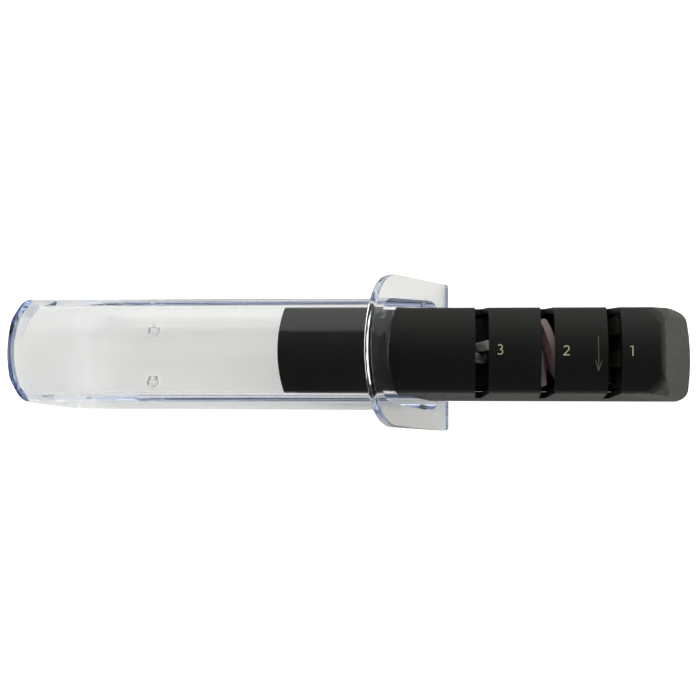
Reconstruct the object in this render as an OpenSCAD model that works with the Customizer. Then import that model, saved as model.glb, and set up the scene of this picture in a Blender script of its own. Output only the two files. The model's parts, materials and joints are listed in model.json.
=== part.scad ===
// Retractable three-stage knife sharpener: a black sharpener body that slides in a clear case.
// X runs along the slide towards the head, Z is up, and the case stands on z = 0.
// The model is drawn with the body pulled out.

/* [Case] */
// Length of the clear case, from its closed end to the foot of its flange
case_len = 169; // [156:0.1:184]
// Wall thickness of the case
case_wall = 2.6; // [1.8:0.1:3.2]
// Lean of the flange and of the rear ends, from upright
lean = 30.8; // [24:0.1:33]
// Extra thickness of the case's side walls at their shoulders
wall_side = 0.5; // [0:0.1:1]
// Extra thickness of the case's side walls at their foot
wall_flare = 1; // [0:0.1:1.6]
// Wall thickness of the closed end
end_wall = 4.4; // [3:0.1:5]
// Radius between the top and the closed end of the case
end_top_r = 1.6; // [1:0.1:2.6]
// Radius of the bow in that edge and in the inside of the closed end
end_bow_r = 52; // [40:1:80]
// Inside radius where the case floor sweeps up into the closed end
end_sweep_r = 28; // [16:0.5:30]
// Height of the rear feet under the case
foot_h = 2; // [1.4:0.1:4]
// Diameter of a rear foot
foot_d = 5; // [4:0.1:7]
// Distance between the two rear feet
foot_spacing = 21; // [14:0.5:24]
// Distance from the end of the floor sweep to the rim of a rear foot
foot_margin = 6.1; // [1:0.1:8]

/* [Flange] */
// Thickness of the leaning flange
flange_t = 3.6; // [2:0.1:4.4]
// Height of the flange above the top of the case tube
flange_rise = 8.2; // [4:0.1:10]
// Width of the flange at its shoulders
flange_w_top = 58; // [52:0.5:60]
// Width of the flange at its foot
flange_w_foot = 60; // [58:0.5:64]
// Radius of the flange's arched top
flange_crown_r = 45; // [36:0.5:60]
// Radius of the flange's shoulders
flange_shoulder_r = 15; // [4:0.5:18]

/* [Body] */
// How much shorter the sharpener body is than the case
body_short = 8.8; // [6:0.1:12]
// Reach of the pulled-out head past the foot of the flange
body_out = 95.4; // [90:0.1:100]
// Width of the body at its shoulders
body_w_top = 32.4; // [31:0.1:35]
// Width of the body at its foot
body_w_foot = 37; // [35:0.1:40]
// Radius of the body's arched top
crown_r = 36; // [28:0.5:50]
// Radius of the shoulders between the top and the sides
shoulder_r = 2.3; // [1.2:0.1:3]
// Radius of the edges between the sides and the underside
heel_r = 3.6; // [2.4:0.1:5]
// Wall thickness of the top cover
cover_wall = 2.2; // [1.6:0.1:2.6]
// Wall thickness of the nose behind its bowed front
nose_wall = 3.2; // [2.4:0.1:4.5]
// Lean of the nose, from upright
nose_lean = 27; // [24:0.1:33]
// Radius between the top and the front of the nose
nose_top_r = 3.4; // [1.6:0.1:4]
// Radius of the nose's upright corners
nose_corner_r = 5.8; // [2:0.1:8]
// Radius of the ball that rounds the nose's two top corners
nose_ball_r = 6.5; // [4:0.1:8]
// Radius of the bow in the front of the nose
nose_bow_r = 100; // [80:5:200]
// Thickness of the bottom cover
bottom_t = 3; // [2.8:0.1:3.6]

/* [Slots] */
// Distance from the front of the head to the middle of slot 1
slot_1_back = 34.5; // [32:0.1:38]
// Distance between neighbouring slots
slot_pitch = 24.4; // [24:0.1:26]
// Width of a knife slot at its mouth
slot_w = 5.1; // [4.6:0.1:6]
// Depth of the straight mouth of a slot
slot_mouth = 4.5; // [3:0.1:6]
// Depth of a slot
slot_depth = 19; // [16:0.5:21]
// Slant of a slot's rear side over its depth
slot_slant_rear = 0.5; // [0:0.1:1]
// Slant of a slot's front side over its depth
slot_slant_front = 2.2; // [1:0.1:2.4]
// Depth of each sharpening V below the crown
v_depth = 10; // [8:0.1:11]

/* [Coarse stage] */
// Thickness of a coarse plate
plate_t = 1.6; // [1:0.1:2]
// Lean of a coarse plate from upright
plate_lean = 22; // [18:0.5:26]
// Length of a coarse plate's fingers below the crossing
finger_root = 4; // [3.6:0.1:5]
// Height of the spine that joins a plate's fingers
spine_h = 5; // [3:0.1:6]
// Gap between neighbouring fingers
finger_gap = 0.25; // [0.15:0.05:0.6]

/* [Wheel stage] */
// Diameter of a ceramic wheel
wheel_d = 25; // [23:0.1:27]
// Thickness of a ceramic wheel
wheel_t = 5; // [4:0.1:5.6]
// Slope of each side of the groove between the wheels
groove_slope = 20; // [16:0.5:22]
// Turn of the wheel axle away from the slide
wheel_skew = 17; // [10:0.5:20]
// Diameter of the wheel axle
axle_d = 3; // [2.4:0.1:3.6]
// Wall of the bush that the wheels are seated on
bush_wall = 1.5; // [1:0.1:2]
// Thickness of a washer beside the wheels
washer_t = 0.6; // [0.4:0.1:0.8]
// Thickness of a cheek of the wheel yoke
cheek_t = 2.4; // [1.8:0.1:3]
// Thickness of an axle clip
clip_t = 0.6; // [0.4:0.1:0.8]

/* [Fine stage] */
// Diameter of a fine ceramic rod
rod_d = 3.7; // [3:0.1:4.2]
// Lean of a fine rod from upright
rod_lean = 20; // [16:0.5:24]
// Gap between the two fine rods
rod_gap = 0.5; // [0.3:0.1:1.4]
// Width of the gap between the sides of the fine rods' holder
rod_window = 7; // [5:0.1:8]

/* [Holders] */
// Length of a stage holder along the body
holder_len = 17; // [16:0.5:20]
// Width of the knife gap at the bottom of the coarse plates' holder
knife_gap = 2.6; // [2:0.1:3.4]
// Width of the knife gap at the top of the coarse plates' holder
knife_gap_top = 5.6; // [4.8:0.1:6.4]
// Wall at each end of the coarse plates' pockets
pocket_wall = 1.5; // [1:0.1:2.4]

/* [Stop and screws] */
// Diameter of the stop pin
pin_d = 3; // [2.4:0.1:3.4]
// Thickness of the stop pin's head
pin_head_t = 1; // [0.6:0.1:1.2]
// Depth of the channel that the stop pin runs in
channel_depth = 1.8; // [1.6:0.1:2]
// Thickness of a detent spring
spring_t = 0.25; // [0.2:0.05:0.4]
// Diameter of a screw's shank
screw_d = 2.5; // [2:0.1:2.8]
// Diameter of a screw's head
screw_head_d = 4.4; // [3.8:0.1:4.8]
// Length of a screw's shank
screw_len = 7.2; // [6:0.1:8]

/* [Fits] */
// Running gap between the body and the case
run_gap = 0.4; // [0.3:0.05:0.7]
// Gap left behind the body when it is pushed in
back_gap = 4.6; // [4:0.1:5.4]
// Gap round a piece that is dropped into its place
drop_fit = 0.15; // [0.1:0.05:0.25]
// Radial gap of a piece that is pressed into its hole
press_fit = 0.02; // [0.01:0.01:0.05]
// Radial gap of a shaft that turns
turn_fit = 0.05; // [0.03:0.01:0.1]
// Gap between a turning piece and its neighbours
side_gap = 0.5; // [0.3:0.05:0.8]
// Gap between the wheels and the ceiling of the top cover
ceiling_gap = 1.8; // [1.4:0.1:3]

/* [Hidden] */
$fn = 48;
// Facets along the arched tops, and along each rounded corner
crown_steps = 17;
corner_steps = 7;
// Facets along the rounded top edges of the nose and of the closed end, and over the nose's top corners
nose_steps = 7;
end_steps = 8;
ball_steps = 3;
// How far a cutting solid runs past what it cuts
past = 4;

// Levels above the table
case_floor_z = foot_h + case_wall;
body_z0 = case_floor_z + run_gap;
deck_z = body_z0 + bottom_t;
body_h = bottom_t + side_gap + wheel_d + ceiling_gap + cover_wall;
body_z1 = body_z0 + body_h;
case_top_z = body_z1 + run_gap + case_wall;
flange_top_z = case_top_z + flange_rise;
ceiling_z = body_z1 - cover_wall;
slot_floor_z = body_z1 - slot_depth;
v_z = body_z1 - v_depth;

// Places along the slide; a leaning face is known by the place where it meets z = 0
total_len = case_len + body_out;
case_back_x = -total_len / 2;
flange_x0 = case_back_x + case_len;
head_x = total_len / 2;
body_len = case_len - body_short;
body_back_x = head_x - body_len;
case_back_x0 = case_back_x + case_top_z * tan(lean) - end_top_r * (tan(lean) + 1 / cos(lean) - 1);
case_back_in_x0 = case_back_x0 + end_wall / cos(lean);
body_back_x0 = body_back_x + body_z1 * tan(lean);
head_x0 = head_x + body_z0 * tan(nose_lean);
tube_front_x0 = flange_x0 - flange_t / 2 / cos(lean);
slide_travel = body_back_x0 - case_back_in_x0 - back_gap;
case_end_x = on_lean(case_back_x0, case_top_z - end_top_r) + end_top_r / cos(lean);
nose_ball = shoulder_centre(body_w_top, body_w_foot, body_z0, body_z1, crown_r, nose_ball_r);
nose_ball_x = on_lean(head_x0, nose_ball.y, nose_lean)
    - (nose_ball_r + nose_ball.x * nose_ball.x / (2 * nose_bow_r)) / cos(nose_lean);
nose_edge_x = on_lean(head_x0, body_z1 - nose_top_r, nose_lean) - nose_top_r / cos(nose_lean);
sweep_reach = tan(45 - lean / 2);

// Rear feet
foot_x = on_lean(case_back_x0, foot_h) + (end_sweep_r + case_wall) * sweep_reach + foot_margin + foot_d / 2;
foot_plug_d = 0.6 * foot_d;
foot_plug_h = case_wall / 2;
foot_tip_d = foot_d / 2;
foot_seat_z = foot_h - press_fit;

// Bottom cover and what is screwed to it
holder_w = body_w_top - 2 * cover_wall - 2 * run_gap;
bottom_lip = 0.6;
bottom_w = holder_w + 2 * bottom_lip;
bottom_margin = 2.5;
bottom_x0 = on_lean(body_back_x0, body_z0) + end_sweep_r * sweep_reach + bottom_margin;
bottom_x1 = on_lean(head_x0, deck_z, nose_lean) - nose_wall / cos(nose_lean) - bottom_margin;
bottom_corner_r = 3;
boss_wall = 1.8;
boss_d = screw_d + 2 * boss_wall;
seat_t = 1.3;
head_seat = bottom_t - seat_t;
head_sunk = 0.3;
screw_head_h = head_seat - head_sunk;
drive_w = 0.7;
drill_past = 1;
boss_inset = 1;
cover_screw_y = holder_w / 2 - boss_d / 2 - boss_inset;
cover_screw_x = [bottom_x0 + boss_d, bottom_x1 - 2 * boss_d];
pilot_d = screw_d + 2 * press_fit;
holder_screw_end = 1;
holder_screw_side = 2.6;
holder_screw_x = holder_len / 2 - screw_head_d / 2 - holder_screw_end;
holder_screw_y = holder_w / 2 - screw_head_d / 2 - holder_screw_side;

// Stop pin, its channel and the detent springs
channel_side = 0.8;
channel_w = pin_d + 2 * channel_side;
channel_end = 1.5;
pin_under = 0.6;
pin_x = bottom_x0 + channel_end + pin_d / 2 + run_gap;
pin_top_z = body_z0 + channel_depth - pin_under;
pin_head_d = 2 * pin_d;
spring_side = 0.6;
spring_w = channel_w - 2 * spring_side;
spring_near = pin_d / 2 + spring_side;
spring_len = 7;
spring_drop = 1;
spring_tab_h = 0.8;

// Stages, numbered from the nose
slot_x = [for (i = [0 : 2]) head_x - slot_1_back - i * slot_pitch];
knife_shift = (slot_slant_rear - slot_slant_front) / 2;
knife_x = [for (x = slot_x) x + knife_shift];
holder_headroom = 4.5;
holder_top_z = ceiling_z - holder_headroom;
gap_below_slot = 0.5;
gap_floor_z = slot_floor_z - gap_below_slot;
stage_headroom = 2;

// Coarse plates
plate_cross_z = v_z - plate_t / 2 / sin(plate_lean);
plate_up = (ceiling_z - stage_headroom - plate_cross_z) / cos(plate_lean);
comb_w = holder_w - 2 * pocket_wall - 2 * drop_fit;
finger_w = (comb_w - 3 * finger_gap) / 4;
finger_pitch = finger_w + finger_gap;

// Wheels on their axle; places along the axle count from the groove
wheel_r = wheel_d / 2;
axle_z = deck_z + side_gap + wheel_r;
groove_r = v_z - axle_z;
wheel_near = 0.1;
wheel_chamfer = 0.5;
groove_half = (wheel_r - groove_r) * tan(groove_slope);
wheel_far = wheel_near + wheel_t;
bush_past = 0.2;
bush_end = wheel_far + bush_past;
washer_end = bush_end + washer_t;
washer_gap = 0.3;
cheek_near = washer_end + washer_gap;
cheek_far = cheek_near + cheek_t;
axle_past = 0.9;
axle_end = cheek_far + clip_t + axle_past;
bush_d = axle_d + 2 * turn_fit + 2 * bush_wall;
washer_rim = 1.5;
washer_d = bush_d + 2 * washer_rim;
clip_d = 2 * axle_d;
clip_bite = 0.4;
clip_groove_d = axle_d - 2 * clip_bite;
yoke_base_t = 2.5;
yoke_window_gap = 1.2;
yoke_window = 2 * sqrt(wheel_r * wheel_r - pow(axle_z - deck_z - yoke_base_t, 2)) + 2 * yoke_window_gap;
yoke_rim = 2.5;
yoke_w = yoke_window + 2 * yoke_rim;
yoke_toe = 4;
yoke_reach = cheek_far + yoke_toe;
yoke_boss_d = 5.5;
yoke_screw_end = 2.2;
yoke_screw_side = 3.6;
yoke_screw = [yoke_reach - yoke_screw_end, yoke_w / 2 - yoke_screw_side];
cheek_w = 9;

// Fine rods
rod_r = rod_d / 2;
rod_y = (rod_d + rod_gap) / 2;
rod_cross_z = v_z - rod_r / sin(rod_lean);
rod_floor = 3;
rod_down = (rod_cross_z - deck_z - rod_floor) / cos(rod_lean);
rod_up = (ceiling_z - stage_headroom - rod_cross_z) / cos(rod_lean);

black = [0.10, 0.10, 0.10];
dark = [0.16, 0.16, 0.17];
clear = [0.80, 0.86, 0.95, 0.35];
steel = [0.72, 0.73, 0.75];
pink = [0.80, 0.62, 0.62];
white = [0.90, 0.90, 0.87];
olive = [0.28, 0.29, 0.24];

// Place along the slide of a leaning face at height z
function on_lean(x0, z, angle = lean) = x0 - z * tan(angle);

function unit(v) = v / norm(v);

// Radius of a bow that is on its way from one radius to another
function bow_between(from, to, share) = 1 / ((1 - share) / from + share / to);

// Points of an arc of radius r that rounds the corner p between a and b
function corner(a, p, b, r) = r <= 0 ? [p] : let(
    u = unit(a - p),
    v = unit(b - p),
    half = acos(u * v) / 2,
    c = p + unit(u + v) * r / sin(half),
    from = p + u * r / tan(half) - c,
    to = p + v * r / tan(half) - c,
    start = atan2(from.y, from.x),
    turn = (atan2(to.y, to.x) - start + 540) % 360 - 180
) [for (k = [0 : corner_steps]) let(t = start + turn * k / corner_steps) c + r * [cos(t), sin(t)]];

// Outline with each corner rounded by its own radius
function rounded(points, radii) = let(n = len(points)) [
    for (i = [0 : n - 1]) each corner(points[(i + n - 1) % n], points[i], points[(i + 1) % n], radii[i])
];

function arc(c, r, from, to, steps) = [
    for (k = [0 : steps]) let(t = from + (to - from) * k / steps) c + r * [cos(t), sin(t)]
];

// Direction in which a drafted side goes up to the edge of its arched crown
function side_up(w_top, w_foot, low, high, crown) =
    unit([(w_top - w_foot) / 2, high - crown + sqrt(crown * crown - w_top * w_top / 4) - low]);

// Centre of the arc of radius r that is tangent to the side and to the crown
function shoulder_centre(w_top, w_foot, low, high, crown, r) = let(
    middle = [0, high - crown],
    up = side_up(w_top, w_foot, low, high, crown),
    start = [w_foot / 2 - up.y * r, low + up.x * r] - middle,
    rise = sqrt(pow(start * up, 2) - start * start + pow(crown - r, 2)) - start * up
) middle + start + up * rise;

// Arched outline with drafted sides: widths at the shoulders and the foot, low and high level, and radii
function arch(w_top, w_foot, low, high, crown, shoulder, heel) = let(
    middle = [0, high - crown],
    foot = [w_foot / 2, low],
    up = side_up(w_top, w_foot, low, high, crown),
    c = shoulder_centre(w_top, w_foot, low, high, crown, shoulder),
    tilt = atan2(c.y - middle.y, c.x),
    right = concat(corner([-foot.x, low], foot, foot + up, heel),
        arc(c, shoulder, atan2(-up.x, up.y), tilt, corner_steps)),
    last = len(right) - 1,
    top = arc(middle, crown, tilt, 180 - tilt, crown_steps)
) concat(right, [for (k = [1 : crown_steps - 1]) top[k]],
    [for (k = [0 : last]) [-right[last - k].x, right[last - k].y]]);

// Cross-section of the body, grown by g on every side and by more at its shoulders and its foot
function section(g, side = 0, flare = 0) = arch(body_w_top + 2 * (g + side), body_w_foot + 2 * (g + flare),
    body_z0 - g, body_z1 + g, crown_r + g, max(shoulder_r + g, 0.3), max(heel_r + g, 0.3));

// Side view of a leaning tube: its back and front leaning faces, its floor and the sweep between them
function side_view(back_x0, front_x0, low, high, sweep, front_lean = lean) = rounded(
    [[on_lean(back_x0, low), low], [on_lean(front_x0, low, front_lean), low],
     [on_lean(front_x0, high, front_lean), high], [on_lean(back_x0, high), high]], [sweep, 0, 0, 0]);

module along_x(from, to) translate([from, 0, 0]) rotate([90, 0, 90]) linear_extrude(to - from) children();

module across_y(w) rotate([90, 0, 0]) linear_extrude(w, center = true) children();

module on_wheel_axle() translate([knife_x[1], 0, axle_z]) rotate([0, 90, wheel_skew]) children();

module both_ends() for (side = [0, 1]) mirror([0, 0, side]) children();

module ring(d_out, d_in, h) difference() {
    cylinder(d = d_out, h = h);
    translate([0, 0, -past]) cylinder(d = d_in, h = h + 2 * past);
}

// Pan-head screw driven upwards, with its seat at z = 0
module screw() difference() {
    union() {
        translate([0, 0, -screw_head_h]) cylinder(d = screw_head_d, h = screw_head_h);
        cylinder(d = screw_d, h = screw_len);
    }
    for (turn = [0, 90]) rotate(turn) translate([0, 0, -screw_head_h])
        cube([0.6 * screw_head_d, drive_w, screw_head_h], center = true);
}

module cover_screw_places() for (x = cover_screw_x, side = [-1, 1])
    translate([x, side * cover_screw_y, 0]) children();

// The two screws of a block-shaped holder sit on opposite corners
module block_screw_places() for (stage = [0, 2], side = [-1, 1])
    translate([knife_x[stage] + side * holder_screw_x, side * holder_screw_y, 0]) children();

module yoke_screw_places() for (side = [-1, 1])
    translate([knife_x[1], 0, 0]) rotate(wheel_skew) translate(side * yoke_screw) children();

module holder_screw_places() {
    block_screw_places() children();
    yoke_screw_places() children();
}

module clear_case() color(clear) difference() {
    union() {
        intersection() {
            along_x(case_back_x - past, flange_x0)
                polygon(section(run_gap + case_wall, wall_side, wall_flare));
            across_y(2 * flange_w_foot) polygon(side_view(case_back_x0, tube_front_x0, foot_h,
                case_top_z + past, end_sweep_r + case_wall));
        }
        translate([flange_x0, 0, 0]) rotate([0, -lean, 0]) along_x(-flange_t, 0) polygon(arch(
            flange_w_top, flange_w_foot, -past, flange_top_z / cos(lean),
            flange_crown_r, flange_shoulder_r, 0));
    }
    difference() {
        intersection() {
            along_x(case_back_x, head_x) polygon(section(run_gap));
            across_y(2 * flange_w_foot) polygon(side_view(case_back_in_x0, head_x, case_floor_z,
                case_top_z, end_sweep_r));
        }
        above_tilted_crown(on_lean(case_back_in_x0, body_z1), body_z1, 0, end_bow_r, -(90 + lean));
    }
    translate([case_back_x, -flange_w_foot, -2 * past]) cube([total_len, 2 * flange_w_foot, 2 * past]);
    for (k = [1 : end_steps - 1]) above_tilted_crown(case_end_x, case_top_z - end_top_r, end_top_r,
        end_bow_r, -(90 + lean) * k / end_steps);
    translate([pin_x, 0, 0]) cylinder(d = pin_d + 2 * press_fit, h = body_z0);
    for (side = [-1, 1]) translate([foot_x, side * foot_spacing / 2, 0])
        cylinder(d = foot_plug_d + 2 * press_fit, h = foot_h + foot_plug_h);
}

// Domed foot with a flat tip and a plug that goes into the case floor
module rear_feet() color(clear) for (side = [-1, 1]) translate([foot_x, side * foot_spacing / 2, 0])
    rotate_extrude() polygon(concat(
        [[0, foot_seat_z + foot_plug_h], [0, 0]],
        [for (k = [0 : corner_steps]) let(t = 90 * k / corner_steps)
            [(foot_tip_d + (foot_d - foot_tip_d) * sin(t)) / 2, foot_seat_z * (1 - cos(t))]],
        [[foot_plug_d / 2, foot_seat_z], [foot_plug_d / 2, foot_seat_z + foot_plug_h]]));

module stop_pin() color(steel) translate([pin_x, 0, foot_h]) {
    cylinder(d = pin_d, h = pin_top_z - foot_h);
    translate([0, 0, -pin_head_t]) cylinder(d = pin_head_d, h = pin_head_t);
}

// Outline of the nose across its leaning front: bowed, with rounded corners
function nose_outline() = let(
    front = head_x0 * cos(nose_lean),
    half = body_w_foot / 2,
    bow = [for (k = [0 : corner_steps]) let(y = half * (2 * k / corner_steps - 1))
        [front - y * y / (2 * nose_bow_r), y]]
) rounded(concat([[-total_len, half], [-total_len, -half]], bow),
    concat([0, 0], [for (k = [0 : corner_steps]) k == 0 || k == corner_steps ? nose_corner_r : 0]));

function slot_outline(x) = [
    [x - slot_w / 2, body_z1 + past],
    [x - slot_w / 2, body_z1 - slot_mouth],
    [x - slot_w / 2 + slot_slant_rear, slot_floor_z],
    [x + slot_w / 2 - slot_slant_front, slot_floor_z],
    [x + slot_w / 2, body_z1 - slot_mouth],
    [x + slot_w / 2, body_z1 + past]
];

// What lies above an arched top once it is tilted down round the edge of radius r that is centred on x and z
module above_tilted_crown(x, z, r, crown, tilt) translate([x, 0, z]) rotate([0, tilt, 0])
    translate([0, 0, r - crown]) difference() {
        translate([-crown, -0.8 * crown, 0]) cube([2 * crown, 1.6 * crown, 2 * crown]);
        rotate([0, 90, 0]) cylinder(r = crown, h = 4 * crown, center = true, $fn = 180);
    }

// What lies outside the ball in a top corner of the nose, in the direction that is turned from the front
// towards the side and then raised by a share of the way to the top
module outside_ball(side, turn, share) let(
    front = [cos(nose_lean), 0, sin(nose_lean)],
    up = side_up(body_w_top, body_w_foot, body_z0, body_z1, crown_r),
    flank = [0, side * up.y, -up.x],
    top = unit([0, side * nose_ball.x, nose_ball.y - body_z1 + crown_r]),
    out = unit((1 - share) * (cos(turn) * front + sin(turn) * flank) + share * top)
) translate([nose_ball_x, side * nose_ball.x, nose_ball.y]) rotate([0, acos(out.z), atan2(out.y, out.x)])
    translate([-body_h, -body_h, nose_ball_r]) cube([2 * body_h, 2 * body_h, body_h]);

module body_shape() difference() {
    intersection() {
        along_x(body_back_x - past, head_x + past) polygon(section(0));
        across_y(2 * body_w_foot)
            polygon(side_view(body_back_x0, head_x0, body_z0, body_z1, end_sweep_r, nose_lean));
        rotate([0, -nose_lean, 0]) translate([0, 0, -total_len])
            linear_extrude(2 * total_len) polygon(nose_outline());
    }
    for (k = [1 : nose_steps - 1]) above_tilted_crown(nose_edge_x, body_z1 - nose_top_r, nose_top_r,
        bow_between(crown_r, nose_bow_r, k / nose_steps), (90 - nose_lean) * k / nose_steps);
    for (side = [-1, 1], i = [1 : ball_steps - 1], j = [1 : ball_steps])
        outside_ball(side, 90 * i / ball_steps, (j - 0.5) / ball_steps);
}

module bottom_outline(g) translate([bottom_x0 - g, -bottom_w / 2 - g]) polygon(rounded(
    [[0, 0], [bottom_x1 - bottom_x0 + 2 * g, 0],
     [bottom_x1 - bottom_x0 + 2 * g, bottom_w + 2 * g], [0, bottom_w + 2 * g]],
    [for (k = [0 : 3]) bottom_corner_r + g]));

module top_cover() color(black) difference() {
    union() {
        difference() {
            body_shape();
            intersection() {
                along_x(body_back_x, head_x) polygon(section(-cover_wall));
                across_y(2 * body_w_foot) polygon(side_view(body_back_x0 + cover_wall / cos(lean),
                    head_x0 - nose_wall / cos(nose_lean), body_z0 + cover_wall, body_z1,
                    end_sweep_r - cover_wall, nose_lean));
            }
        }
        intersection() {
            along_x(body_back_x, head_x) polygon(section(-cover_wall / 2));
            cover_screw_places() translate([0, 0, deck_z]) cylinder(d = boss_d, h = body_h);
        }
    }
    translate([0, 0, body_z0 - past]) linear_extrude(deck_z - body_z0 + past) bottom_outline(drop_fit);
    for (x = slot_x) across_y(2 * body_w_foot) polygon(slot_outline(x));
    cover_screw_places() translate([0, 0, body_z0])
        cylinder(d = pilot_d, h = head_seat + screw_len + drill_past);
}

module bottom_cover() color(black) difference() {
    translate([0, 0, body_z0]) linear_extrude(bottom_t) bottom_outline(0);
    translate([pin_x - pin_d / 2 - run_gap, -channel_w / 2, body_z0 - past])
        cube([slide_travel + pin_d + 2 * run_gap, channel_w, channel_depth + past]);
    for (end = [0, 1], tab = [0, 1]) spring_place(end)
        translate([tab * (spring_len - spring_t) - drop_fit, -spring_w / 2 - drop_fit, 0])
            cube([spring_t + 2 * drop_fit, spring_w + 2 * drop_fit, spring_tab_h + drop_fit]);
    cover_screw_places() screw_seat();
    holder_screw_places() screw_seat();
}

// Counterbore and through hole of a screw in the bottom cover
module screw_seat() translate([0, 0, body_z0 - past]) {
    cylinder(d = screw_head_d + 4 * drop_fit, h = head_seat + past);
    cylinder(d = pilot_d, h = bottom_t + 2 * past);
}

module cover_screws() color(steel) cover_screw_places() translate([0, 0, body_z0 + head_seat]) screw();

module holder_screws() color(steel) holder_screw_places() translate([0, 0, body_z0 + head_seat]) screw();

// Each detent spring starts just inside one end of the pin's travel, under the channel's ceiling
module spring_place(end) translate([pin_x + end * slide_travel, 0, body_z0 + channel_depth])
    mirror([end, 0, 0]) translate([spring_near, 0, 0]) children();

// Bowed leaf with a tab at each end that goes up into the bottom cover
module detent_springs() color(steel) for (end = [0, 1]) spring_place(end) across_y(spring_w) polygon(concat(
    [[0, spring_tab_h], [0, -spring_t]],
    [for (k = [1 : 11]) let(u = k / 12) [u * spring_len, -spring_t - spring_drop * pow(sin(180 * u), 2)]],
    [[spring_len, -spring_t], [spring_len, spring_tab_h], [spring_len - spring_t, spring_tab_h],
     [spring_len - spring_t, 0]],
    [for (k = [11 : -1 : 1]) let(u = k / 12) [u * spring_len, -spring_drop * pow(sin(180 * u), 2)]],
    [[spring_t, 0], [spring_t, spring_tab_h]]));

// Block with a gap for the blade, of the given widths at its bottom and top
module holder_block(x, gap_low, gap_high) difference() {
    translate([x - holder_len / 2, -holder_w / 2, deck_z]) cube([holder_len, holder_w, holder_top_z - deck_z]);
    across_y(2 * holder_w) polygon([
        [x - gap_low / 2, gap_floor_z], [x + gap_low / 2, gap_floor_z],
        [x + gap_high / 2, holder_top_z], [x + gap_high / 2, holder_top_z + past],
        [x - gap_high / 2, holder_top_z + past], [x - gap_high / 2, holder_top_z]]);
}

// A coarse plate's frame: origin on the crossing, z up along the plate; side is 1 if its top leans forward
module on_plate(side) translate([knife_x[0], 0, plate_cross_z]) rotate([0, side * plate_lean, 0]) children();

module stage_1_holder() color(dark) difference() {
    holder_block(knife_x[0], knife_gap, knife_gap_top);
    for (side = [-1, 1]) on_plate(side)
        translate([-plate_t / 2 - drop_fit, -comb_w / 2 - drop_fit, -finger_root - spine_h])
            cube([plate_t + 2 * drop_fit, comb_w + 2 * drop_fit, finger_root + spine_h + plate_up + past]);
    block_screw_places() cylinder(d = pilot_d, h = body_z0 + head_seat + screw_len + drill_past);
}

// Comb of two fingers on a spine, so that the two plates pass through each other
module coarse_plate(side) color(olive) on_plate(side) {
    translate([-plate_t / 2, -comb_w / 2, -finger_root - spine_h]) cube([plate_t, comb_w, spine_h]);
    for (k = [0, 1]) translate([-plate_t / 2, side * (1.5 - 2 * k) * finger_pitch - finger_w / 2, -finger_root])
        cube([plate_t, finger_w, finger_root + plate_up]);
}

module coarse_plate_left() coarse_plate(-1);

module coarse_plate_right() coarse_plate(1);

module stage_2_yoke() color(dark) difference() {
    union() {
        translate([knife_x[1], 0, deck_z]) rotate(wheel_skew) {
            difference() {
                translate([-yoke_reach, -yoke_w / 2, 0]) cube([2 * yoke_reach, yoke_w, yoke_base_t]);
                translate([-cheek_near, -yoke_window / 2, -past])
                    cube([2 * cheek_near, yoke_window, yoke_base_t + 2 * past]);
            }
            for (side = [0, 1]) mirror([side, 0, 0]) translate([cheek_near, -cheek_w / 2, 0])
                cube([cheek_t, cheek_w, axle_z - deck_z]);
        }
        on_wheel_axle() both_ends() translate([0, 0, cheek_near]) cylinder(d = cheek_w, h = cheek_t);
        yoke_screw_places() translate([0, 0, deck_z]) cylinder(d = yoke_boss_d, h = screw_len);
    }
    on_wheel_axle() both_ends() cylinder(d = axle_d + 2 * press_fit, h = axle_end);
    yoke_screw_places() cylinder(d = pilot_d, h = 2 * deck_z + screw_len);
}

module wheel_axle() color(steel) on_wheel_axle() rotate_extrude() polygon([
    [0, -axle_end], [axle_d / 2, -axle_end],
    [axle_d / 2, -cheek_far - clip_t], [clip_groove_d / 2, -cheek_far - clip_t],
    [clip_groove_d / 2, -cheek_far], [axle_d / 2, -cheek_far],
    [axle_d / 2, cheek_far], [clip_groove_d / 2, cheek_far],
    [clip_groove_d / 2, cheek_far + clip_t], [axle_d / 2, cheek_far + clip_t],
    [axle_d / 2, axle_end], [0, axle_end]]);

// Open ring that snaps into the axle's groove
module axle_clips() color(steel) on_wheel_axle() both_ends() translate([0, 0, cheek_far]) difference() {
    ring(clip_d, clip_groove_d + 2 * press_fit, clip_t);
    translate([0, -0.45 * clip_groove_d, -past]) cube([clip_d, 0.9 * clip_groove_d, 2 * past]);
}

module wheel() color(pink) on_wheel_axle() children();

// Half of the grooved wheel pair, on the side of the axle towards the head
module wheel_half() rotate_extrude($fn = 96) polygon([
    [bush_d / 2 + press_fit, wheel_near], [groove_r, wheel_near], [wheel_r, wheel_near + groove_half],
    [wheel_r, wheel_far - wheel_chamfer], [wheel_r - wheel_chamfer, wheel_far],
    [bush_d / 2 + press_fit, wheel_far]]);

module wheel_left() wheel() mirror([0, 0, 1]) wheel_half();

module wheel_right() wheel() wheel_half();

module wheel_bush() color(white) on_wheel_axle() translate([0, 0, -bush_end])
    ring(bush_d, axle_d + 2 * turn_fit, 2 * bush_end);

module wheel_washers() color(steel) on_wheel_axle() both_ends() translate([0, 0, bush_end])
    ring(washer_d, axle_d + 2 * turn_fit, washer_t);

// A fine rod's frame: origin on the crossing, z up along the rod; side is 1 if its top leans forward
module on_rod(side) translate([knife_x[2], side * rod_y, rod_cross_z])
    rotate([0, side * rod_lean, 0]) children();

module stage_3_holder() color(dark) difference() {
    holder_block(knife_x[2], rod_window, rod_window);
    for (side = [-1, 1]) on_rod(side) translate([0, 0, -rod_down])
        cylinder(d = rod_d + 2 * turn_fit, h = rod_down + rod_up + past);
    block_screw_places() cylinder(d = pilot_d, h = body_z0 + head_seat + screw_len + drill_past);
}

module fine_rod(side) color(white) on_rod(side)
    translate([0, 0, -rod_down]) cylinder(d = rod_d, h = rod_down + rod_up);

module fine_rod_left() fine_rod(-1);

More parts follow.
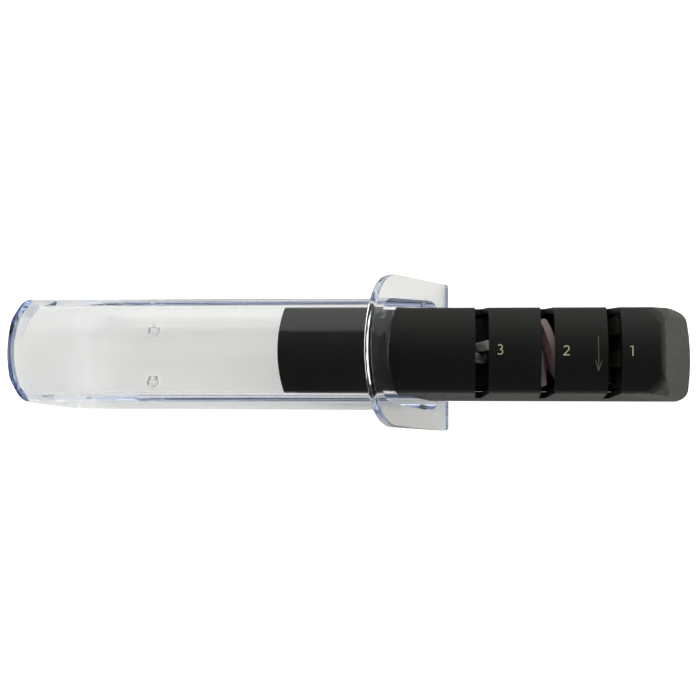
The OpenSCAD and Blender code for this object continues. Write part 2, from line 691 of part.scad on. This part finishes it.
module fine_rod_right() fine_rod(1);

clear_case();
rear_feet();
stop_pin();
top_cover();
bottom_cover();
cover_screws();
holder_screws();
detent_springs();
stage_1_holder();
coarse_plate_left();
coarse_plate_right();
stage_2_yoke();
wheel_axle();
axle_clips();
wheel_left();
wheel_right();
wheel_bush();
wheel_washers();
stage_3_holder();
fine_rod_left();
fine_rod_right();
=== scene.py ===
"""Looks of the retractable knife sharpener: a clear moulded case and a satin black sharpener body."""

import json
import math

import bpy
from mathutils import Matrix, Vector


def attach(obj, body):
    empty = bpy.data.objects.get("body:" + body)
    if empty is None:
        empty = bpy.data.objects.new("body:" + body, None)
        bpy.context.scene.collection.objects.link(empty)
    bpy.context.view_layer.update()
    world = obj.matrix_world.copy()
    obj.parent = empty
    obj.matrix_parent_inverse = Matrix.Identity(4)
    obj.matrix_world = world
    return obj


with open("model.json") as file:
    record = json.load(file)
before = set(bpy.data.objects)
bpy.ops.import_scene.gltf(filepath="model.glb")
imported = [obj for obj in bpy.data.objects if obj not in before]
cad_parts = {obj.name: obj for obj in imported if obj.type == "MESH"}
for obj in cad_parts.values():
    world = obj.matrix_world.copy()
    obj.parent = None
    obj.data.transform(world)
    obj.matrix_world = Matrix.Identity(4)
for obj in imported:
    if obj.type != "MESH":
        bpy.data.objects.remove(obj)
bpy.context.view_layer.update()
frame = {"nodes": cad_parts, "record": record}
nodes = frame["nodes"]

MM = 0.001

# Top of the black body, and the bowed top edge of the case's closed end, repeated from the part's source
# in millimetres
CROWN_TOP = 37.5
CROWN_RADIUS = 36.0
CASE_END = -132.2
CASE_END_BOW = 52.0


# Materials

# Tint of the clear plastic, and how fast it deepens per metre
CLEAR_TINT = (0.1, 0.28, 0.62)
CLEAR_TINT_DENSITY = 8.0

# Rim of the closed end: a dark blue painted into its colour, partly the real tint of the long way through
# it and partly painted shade for the darker surroundings seen through it by refraction; and its width in
# millimetres
RIM_PAINTED_SHADE = (0.05, 0.078, 0.19)
RIM_WIDTH = 1.8
RIM_BLUR = 0.15

# Part of a noise's range in which most of its values lie
NOISE_LOW = 0.3
NOISE_HIGH = 0.7

# Places of the colour sockets in a Mix node
MIX_FIRST = 6
MIX_SECOND = 7
MIX_RESULT = 2


def new_material(name, **sockets):
    """A material with one Principled shader whose sockets are set by name."""
    material = bpy.data.materials.new(name)
    material.use_nodes = True
    shader = material.node_tree.nodes["Principled BSDF"]
    for socket, value in sockets.items():
        shader.inputs[socket.replace("_", " ")].default_value = value
    return material, shader


def noise(material, scale, detail=3.0, stretch=(1, 1, 1)):
    """Noise in the piece's own space; scale is in features per metre."""
    tree = material.node_tree
    place = tree.nodes.new("ShaderNodeTexCoord")
    mapping = tree.nodes.new("ShaderNodeMapping")
    mapping.inputs["Scale"].default_value = stretch
    texture = tree.nodes.new("ShaderNodeTexNoise")
    texture.inputs["Scale"].default_value = scale
    texture.inputs["Detail"].default_value = detail
    tree.links.new(place.outputs["Object"], mapping.inputs["Vector"])
    tree.links.new(mapping.outputs["Vector"], texture.inputs["Vector"])
    return texture.outputs["Fac"]


def mottle(material, shader, fac, dark, light):
    """Base colour that wanders between two close tones."""
    tree = material.node_tree
    ramp = tree.nodes.new("ShaderNodeValToRGB")
    ramp.color_ramp.elements[0].position = NOISE_LOW
    ramp.color_ramp.elements[1].position = NOISE_HIGH
    ramp.color_ramp.elements[0].color = (*dark, 1)
    ramp.color_ramp.elements[1].color = (*light, 1)
    tree.links.new(fac, ramp.inputs["Fac"])
    tree.links.new(ramp.outputs["Color"], shader.inputs["Base Color"])


def roughen(material, shader, fac, low, high):
    """Roughness that wanders between two values."""
    tree = material.node_tree
    spread = tree.nodes.new("ShaderNodeMapRange")
    spread.inputs["From Min"].default_value = NOISE_LOW
    spread.inputs["From Max"].default_value = NOISE_HIGH
    spread.inputs["To Min"].default_value = low
    spread.inputs["To Max"].default_value = high
    tree.links.new(fac, spread.inputs["Value"])
    tree.links.new(spread.outputs["Result"], shader.inputs["Roughness"])


def bump(material, shader, fac, depth, strength=1.0):
    """Relief of the given depth in metres."""
    tree = material.node_tree
    relief = tree.nodes.new("ShaderNodeBump")
    relief.inputs["Strength"].default_value = strength
    relief.inputs["Distance"].default_value = depth
    tree.links.new(fac, relief.inputs["Height"])
    tree.links.new(relief.outputs["Normal"], shader.inputs["Normal"])


def tint_through(material, colour, density):
    """Colour that deepens with the way the light goes through the piece."""
    tree = material.node_tree
    absorption = tree.nodes.new("ShaderNodeVolumeAbsorption")
    absorption.inputs["Color"].default_value = (*colour, 1)
    absorption.inputs["Density"].default_value = density
    tree.links.new(absorption.outputs["Volume"], tree.nodes["Material Output"].inputs["Volume"])


def calculate(material, operation, *values):
    """Output of one Math node; each value is a number or another node's output."""
    tree = material.node_tree
    node = tree.nodes.new("ShaderNodeMath")
    node.operation = operation
    for socket, value in zip(node.inputs, values):
        if isinstance(value, (int, float)):
            socket.default_value = value
        else:
            tree.links.new(value, socket)
    return node.outputs["Value"]


def painted_rim_shade_mask(material):
    """Where the rim's painted shade goes: 1 along the top edge of the closed end, over the width of its
    rim, and 0 elsewhere.
    """
    tree = material.node_tree
    place = tree.nodes.new("ShaderNodeTexCoord")
    split = tree.nodes.new("ShaderNodeSeparateXYZ")
    tree.links.new(place.outputs["Object"], split.inputs["Vector"])
    across = calculate(material, "POWER", calculate(material, "ABSOLUTE", split.outputs["Y"]), 2.0)
    edge = calculate(material, "MULTIPLY_ADD", across, 0.5 / (CASE_END_BOW * MM), CASE_END * MM)
    inward = calculate(material, "SUBTRACT", split.outputs["X"], edge)
    fade = tree.nodes.new("ShaderNodeMapRange")
    fade.interpolation_type = "SMOOTHSTEP"
    fade.inputs["From Min"].default_value = (RIM_WIDTH - RIM_BLUR) * MM
    fade.inputs["From Max"].default_value = (RIM_WIDTH + RIM_BLUR) * MM
    fade.inputs["To Min"].default_value = 1.0
    fade.inputs["To Max"].default_value = 0.0
    tree.links.new(inward, fade.inputs["Value"])
    face = tree.nodes.new("ShaderNodeNewGeometry")
    tilt = tree.nodes.new("ShaderNodeSeparateXYZ")
    tree.links.new(face.outputs["Normal"], tilt.inputs["Vector"])
    upward = calculate(material, "GREATER_THAN", tilt.outputs["Z"], 0.0)
    return calculate(material, "MULTIPLY", fade.outputs["Result"], upward)


def clear_plastic():
    material, shader = new_material("clear_plastic", Transmission_Weight=1.0, IOR=1.4)
    tree = material.node_tree
    mottle(material, shader, noise(material, 40), (0.985, 0.99, 0.995), (1.0, 1.0, 1.0))
    roughen(material, shader, noise(material, 90), 0.0, 0.02)
    tint_through(material, CLEAR_TINT, CLEAR_TINT_DENSITY)
    # Painted shade: the rim's dark blue is mixed into the base colour along the closed end's top edge
    rim = tree.nodes.new("ShaderNodeMix")
    rim.data_type = "RGBA"
    tree.links.new(painted_rim_shade_mask(material), rim.inputs["Factor"])
    tree.links.new(shader.inputs["Base Color"].links[0].from_socket, rim.inputs[MIX_FIRST])
    rim.inputs[MIX_SECOND].default_value = (*RIM_PAINTED_SHADE, 1)
    tree.links.new(rim.outputs[MIX_RESULT], shader.inputs["Base Color"])
    return material


def clear_rubber():
    material, shader = new_material("clear_rubber", Transmission_Weight=1.0, IOR=1.41)
    mottle(material, shader, noise(material, 300), (0.94, 0.95, 0.95), (0.98, 0.99, 0.99))
    roughen(material, shader, noise(material, 900), 0.04, 0.12)
    return material


def black_plastic():
    material, shader = new_material("black_plastic", IOR=1.4, Specular_Tint=(0.98, 1.0, 0.93, 1.0))
    mottle(material, shader, noise(material, 120), (0.0022, 0.0022, 0.0021), (0.0036, 0.0036, 0.0034))
    roughen(material, shader, noise(material, 400), 0.46, 0.54)
    bump(material, shader, noise(material, 5200, 2.0), 0.012 * MM, 0.35)
    return material


def holder_plastic():
    material, shader = new_material("holder_plastic", IOR=1.5)
    mottle(material, shader, noise(material, 200), (0.007, 0.007, 0.007), (0.011, 0.011, 0.011))
    roughen(material, shader, noise(material, 500), 0.5, 0.62)
    bump(material, shader, noise(material, 3800, 2.0), 0.02 * MM, 0.4)
    return material


def bush_plastic():
    material, shader = new_material("bush_plastic", IOR=1.5)
    mottle(material, shader, noise(material, 300), (0.66, 0.65, 0.60), (0.72, 0.71, 0.66))
    roughen(material, shader, noise(material, 700), 0.4, 0.5)
    return material


def ceramic(name, dark, light, low, high):
    material, shader = new_material(name, IOR=1.6)
    mottle(material, shader, noise(material, 1500, 6.0), dark, light)
    roughen(material, shader, noise(material, 800), low, high)
    bump(material, shader, noise(material, 9000, 3.0), 0.02 * MM, 0.5)
    return material


def coated_steel():
    material, shader = new_material("coated_steel", Metallic=0.35, IOR=1.6)
    mottle(material, shader, noise(material, 6000, 4.0), (0.020, 0.021, 0.014), (0.060, 0.062, 0.045))
    roughen(material, shader, noise(material, 4000), 0.45, 0.75)
    bump(material, shader, noise(material, 6500, 3.0), 0.05 * MM, 0.8)
    return material


def steel():
    material, shader = new_material("steel", Metallic=1.0)
    brushed = noise(material, 900, 4.0, (0.15, 1, 1))
    mottle(material, shader, brushed, (0.50, 0.51, 0.53), (0.62, 0.63, 0.65))
    roughen(material, shader, brushed, 0.24, 0.38)
    return material


def print_ink(name, dark, light):
    material, shader = new_material(name, IOR=1.45)
    mottle(material, shader, noise(material, 2500, 3.0), dark, light)
    roughen(material, shader, noise(material, 1500), 0.45, 0.6)
    return material


slot_materials = {
    "clear_plastic": clear_plastic(),
    "clear_rubber": clear_rubber(),
    "black_plastic": black_plastic(),
    "holder_plastic": holder_plastic(),
    "bush_plastic": bush_plastic(),
    "pink_ceramic": ceramic("pink_ceramic", (0.36, 0.24, 0.26), (0.48, 0.34, 0.36), 0.55, 0.75),
    "white_ceramic": ceramic("white_ceramic", (0.70, 0.69, 0.64), (0.80, 0.79, 0.75), 0.35, 0.5),
    "coated_steel": coated_steel(),
    "steel": steel(),
}


# Edges

# Rounding of the flange, and where the outer edges that get it and the round corners of the nose lie
FLANGE_EDGE = 1.2 * MM
FLANGE_EDGE_STEPS = 5
FLANGE_START = 2.0 * MM
FLANGE_HEIGHT = 41.5 * MM
FLANGE_HALF_WIDTH = 22.0 * MM
NOSE_START = 104.0 * MM

# Points closer than the gap are one, and faces that meet at more than the angle form a corner
JOIN_GAP = 0.001 * MM
EDGE_ANGLE = math.radians(28)
EDGE_WEIGHT = "bevel_weight_edge"

# How far larger faces lead the shading, from 1 to 100
LEAD_OF_LARGE_FACES = 80


def join_group(name, start, height, half_width, rounded):
    """Node group that joins the faces past a start along the slide, where they are also above a height
    or outside a half width. Corners between them are marked for rounding, or kept sharp."""
    group = bpy.data.node_groups.new(name, "GeometryNodeTree")
    group.interface.new_socket("Mesh", in_out="INPUT", socket_type="NodeSocketGeometry")
    group.interface.new_socket("Mesh", in_out="OUTPUT", socket_type="NodeSocketGeometry")
    link = group.links.new

    def above(value, limit):
        node = group.nodes.new("FunctionNodeCompare")
        node.operation = "GREATER_THAN"
        link(value, node.inputs["A"])
        node.inputs["B"].default_value = limit
        return node.outputs["Result"]

    def combine(operation, first, second):
        node = group.nodes.new("FunctionNodeBooleanMath")
        node.operation = operation
        link(first, node.inputs[0])
        link(second, node.inputs[1])
        return node.outputs["Boolean"]

    place = group.nodes.new("ShaderNodeSeparateXYZ")
    link(group.nodes.new("GeometryNodeInputPosition").outputs["Position"], place.inputs["Vector"])
    aside = group.nodes.new("ShaderNodeMath")
    aside.operation = "ABSOLUTE"
    link(place.outputs["Y"], aside.inputs["Value"])
    outer = combine("OR", above(place.outputs["Z"], height), above(aside.outputs["Value"], half_width))
    inside = combine("AND", above(place.outputs["X"], start), outer)

    join = group.nodes.new("GeometryNodeMergeByDistance")
    join.inputs["Distance"].default_value = JOIN_GAP
    link(group.nodes.new("NodeGroupInput").outputs["Mesh"], join.inputs["Geometry"])
    link(inside, join.inputs["Selection"])
    angle = group.nodes.new("GeometryNodeInputMeshEdgeAngle")
    corner = combine("AND", above(angle.outputs["Unsigned Angle"], EDGE_ANGLE), inside)
    if rounded:
        mark = group.nodes.new("GeometryNodeStoreNamedAttribute")
        mark.inputs["Name"].default_value = EDGE_WEIGHT
        mark.inputs["Value"].default_value = 1.0
    else:
        mark = group.nodes.new("GeometryNodeSetShadeSmooth")
        mark.inputs["Shade Smooth"].default_value = False
    mark.domain = "EDGE"
    link(join.outputs["Geometry"], mark.inputs["Geometry"])
    link(corner, mark.inputs["Selection"])
    link(mark.outputs["Geometry"], group.nodes.new("NodeGroupOutput").inputs["Mesh"])
    return group


def join_faces(node, **region):
    """Joins the faces of one region of a CAD node."""
    joined = node.modifiers.new("joined", "NODES")
    joined.node_group = join_group(node.name + "_join", **region)


def round_flange(node):
    """Rounds the outer edges of the case's flange."""
    join_faces(node, start=FLANGE_START, height=FLANGE_HEIGHT, half_width=FLANGE_HALF_WIDTH, rounded=True)
    edges = node.modifiers.new("edges", "BEVEL")
    edges.width = FLANGE_EDGE
    edges.segments = FLANGE_EDGE_STEPS
    edges.limit_method = "WEIGHT"
    edges.edge_weight = EDGE_WEIGHT
    edges.use_clamp_overlap = False


def smooth_nose(node):
    """Shades the round corners of the body's nose as one surface."""
    join_faces(node, start=NOSE_START, height=0.0, half_width=0.0, rounded=False)


def shade_smooth(obj):
    """Smooth shading with sharp corners kept, led by the larger faces."""
    for face in obj.data.polygons:
        face.use_smooth = True
    even = obj.modifiers.new("even", "WEIGHTED_NORMAL")
    even.weight = LEAD_OF_LARGE_FACES
    even.keep_sharp = True


edge_work = {"clear_case": round_flange, "top_cover": smooth_nose}
for part in frame["record"]["subparts"]:
    node = nodes[part["node"]]
    node.data.materials.clear()
    node.data.materials.append(slot_materials[part["material_slot"]])
    if part["node"] in edge_work:
        edge_work[part["node"]](node)
    shade_smooth(node)


# Printed marks on the crown of the black body, in millimetres

INK_PROUD = 0.03
INK_DEPTH = 0.05
DIGIT_STROKE = 0.44
FLAG_STROKE = 0.34
ARROW_STROKE = 0.23


def crown_height(y):
    """Height of the body's top at a distance from its middle."""
    return CROWN_TOP - CROWN_RADIUS + math.sqrt(CROWN_RADIUS ** 2 - y ** 2)


def arc_points(cx, cy, rx, ry, start, end, steps=14):
    """Points along an oval arc between two angles in degrees."""
    angles = [math.radians(start + (end - start) * k / steps) for k in range(steps + 1)]
    return [(cx + rx * math.cos(a), cy + ry * math.sin(a)) for a in angles]


def resample(points, step=0.3):
    """The same line with a point at least every step, so that it can follow the crown."""
    line = [points[0]]
    for start, end in zip(points, points[1:]):
        parts = max(1, math.ceil(math.dist(start, end) / step))
        line += [tuple(a + (b - a) * k / parts for a, b in zip(start, end)) for k in range(1, parts + 1)]
    return line


def stroke_sides(points, width):
    """Left and right side points of a stroke along a line, mitred at its bends."""
    sides = []
    last = len(points) - 1
    for k, point in enumerate(points):
        here = Vector(point)
        ahead = (Vector(points[min(k + 1, last)]) - here) if k < last else None
        behind = (here - Vector(points[max(k - 1, 0)])) if k > 0 else None
        normals = [Vector((-d.y, d.x)).normalized() for d in (ahead, behind) if d is not None]
        normal = sum(normals, Vector((0, 0))).normalized()
        reach = width / 2 / max(normal.dot(normals[0]), 0.5)
        sides.append((here + normal * reach, here - normal * reach))
    return sides


def print_mark(name, strokes, material):
    """Thin raised print that follows the crown; strokes are lines with a width, in millimetres."""
    vertices = []
    faces = []
    for points, width in strokes:
        first = len(vertices)
        sides = stroke_sides(resample(points), width)
        for left, right in sides:
            for lift in (INK_PROUD, INK_PROUD - INK_DEPTH):
                for p in (left, right):
                    vertices.append((p.x * MM, p.y * MM, (crown_height(p.y) + lift) * MM))
        for k in range(len(sides) - 1):
            a = first + 4 * k
            b = a + 4
            faces += [(a, a + 1, b + 1, b), (a + 2, b + 2, b + 3, a + 3),
                      (a, b, b + 2, a + 2), (a + 1, a + 3, b + 3, b + 1)]
        end = first + 4 * (len(sides) - 1)
        faces += [(first, first + 2, first + 3, first + 1), (end, end + 1, end + 3, end + 2)]
    mesh = bpy.data.meshes.new(name)
    mesh.from_pydata(vertices, [], faces)
    mesh.validate()
    mark = bpy.data.objects.new(name, mesh)
    bpy.context.scene.collection.objects.link(mark)
    mark.data.materials.append(material)
    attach(mark, "sharpener")


def digit_one(x, y):
    stem = [(x + 0.38, y + 1.9), (x + 0.38, y - 1.9)]
    flag = [(x - 0.65, y + 1.6), (x + 0.38, y + 1.72)]
    return [(stem, DIGIT_STROKE), (flag, FLAG_STROKE)]


def digit_two(x, y):
    hook = arc_points(x, y + 0.75, 0.97, 0.92, 160, -38)
    return [(hook + [(x - 0.95, y - 1.66), (x + 1.2, y - 1.66)], DIGIT_STROKE)]


def digit_three(x, y):
    upper = arc_points(x - 0.1, y + 0.92, 0.9, 0.86, 140, -90)
    lower = arc_points(x - 0.1, y - 0.84, 1.02, 0.9, 90, -140)
    return [(upper, DIGIT_STROKE), (lower, DIGIT_STROKE)]


def arrow(x, tail, tip, barb_x, barb_y):
    shaft = [(x, tail), (x, tip)]
    barbs = [[(x + side * barb_x, tip + barb_y), (x, tip)] for side in (-1, 1)]
    return [(line, ARROW_STROKE) for line in (shaft, *barbs)]


digit_ink = print_ink("digit_ink", (0.50, 0.47, 0.27), (0.58, 0.55, 0.33))
arrow_ink = print_ink("arrow_ink", (0.16, 0.155, 0.11), (0.20, 0.19, 0.14))
print_mark("number_1", digit_one(103.65, -0.6), digit_ink)
print_mark("number_2", digit_two(79.85, -0.4), digit_ink)
print_mark("number_3", digit_three(55.45, -0.1), digit_ink)
print_mark("arrow", arrow(91.6, 5.05, -7.9, 1.1, 3.65), arrow_ink)


# Floor, light and camera

FLOOR_SIZE = 6.0
FLOOR_GAP = 0.3 * MM

# The floor's own glow, and what is added where it is the plain white backdrop of the picture
FLOOR_GLOW = 0.28
BACKDROP_GLOW = 0.7

bpy.ops.mesh.primitive_plane_add(size=FLOOR_SIZE, location=(0, 0, -FLOOR_GAP))
floor = bpy.context.object
floor.name = "floor"
floor_material, floor_shader = new_material("floor", Roughness=0.9)
floor_shader.inputs["Base Color"].default_value = (0.95, 0.935, 0.87, 1)
floor_shader.inputs["Emission Color"].default_value = (1.0, 0.985, 0.94, 1)
floor_tree = floor_material.node_tree
floor_path = floor_tree.nodes.new("ShaderNodeLightPath")
floor_glow = floor_tree.nodes.new("ShaderNodeMapRange")
floor_glow.inputs["To Min"].default_value = FLOOR_GLOW
floor_glow.inputs["To Max"].default_value = FLOOR_GLOW + BACKDROP_GLOW
floor_tree.links.new(floor_path.outputs["Is Camera Ray"], floor_glow.inputs["Value"])
floor_tree.links.new(floor_glow.outputs["Result"], floor_shader.inputs["Emission Strength"])
floor.data.materials.append(floor_material)


def softbox(name, place, width, height, radiance):
    """Large soft light that faces the part; radiance is the brightness of its face."""
    light = bpy.data.lights.new(name, "AREA")
    light.shape = "RECTANGLE"
    light.size = width
    light.size_y = height
    light.energy = radiance * math.pi * width * height
    holder = bpy.data.objects.new(name, light)
    holder.location = place
    holder.rotation_euler = (-Vector(place)).to_track_quat("-Z", "Y").to_euler()
    holder.visible_camera = False
    bpy.context.scene.collection.objects.link(holder)


softbox("light_back", (0.0, 0.62, 0.66), 1.6, 0.56, 0.9)
softbox("light_back_low", (0.0, 1.2, 0.45), 2.0, 0.6, 1.3)
softbox("light_back_right", (0.85, 0.75, 0.5), 0.6, 0.5, 2.0)
softbox("light_left", (-1.0, 0.1, 0.5), 1.0, 0.9, 1.2)
softbox("light_right", (1.0, 0.1, 0.5), 1.0, 0.9, 1.2)
softbox("light_front", (0.0, -1.1, 0.35), 1.6, 0.6, 0.35)

# Surroundings: light from below, where the floor would reach, and dim above
SKY_LOW = (0.95, 0.95, 0.95, 1)
SKY_HIGH = (0.06, 0.06, 0.06, 1)
SKY_HIGH_FROM = 0.5
world = bpy.data.worlds.new("studio")
bpy.context.scene.world = world
world.use_nodes = True
sky = world.node_tree
direction = sky.nodes.new("ShaderNodeTexCoord")
split = sky.nodes.new("ShaderNodeSeparateXYZ")
ramp = sky.nodes.new("ShaderNodeValToRGB")
ramp.color_ramp.elements[0].position = 0.0
ramp.color_ramp.elements[0].color = SKY_LOW
ramp.color_ramp.elements[1].position = SKY_HIGH_FROM
ramp.color_ramp.elements[1].color = SKY_HIGH
sky.links.new(direction.outputs["Generated"], split.inputs["Vector"])
sky.links.new(split.outputs["Z"], ramp.inputs["Fac"])
sky.links.new(ramp.outputs["Color"], sky.nodes["Background"].inputs["Color"])

bpy.context.scene.view_settings.view_transform = "Standard"
bpy.context.scene.view_settings.look = "None"

# Light goes through many walls of the clear case before it comes out
BOUNCES = 40
cycles = bpy.context.scene.cycles
cycles.max_bounces = BOUNCES
cycles.transmission_bounces = BOUNCES
cycles.glossy_bounces = BOUNCES
cycles.blur_glossy = 0.0

# Camera, fitted to the corners of the part in the photo
SENSOR_WIDTH = 36.0
LENS = 56.1657
NEAREST_SEEN = 0.01
CAMERA_PLACE = (0.0303835, -0.0356310, 0.4452333)
CAMERA_TURN = (0.086719, 0.075185, 0.006302)
camera_data = bpy.data.cameras.new("camera")
camera_data.sensor_width = SENSOR_WIDTH
camera_data.lens = LENS
camera_data.clip_start = NEAREST_SEEN
camera = bpy.data.objects.new("camera", camera_data)
camera.location = CAMERA_PLACE
camera.rotation_euler = CAMERA_TURN
bpy.context.scene.collection.objects.link(camera)
bpy.context.scene.camera = camera
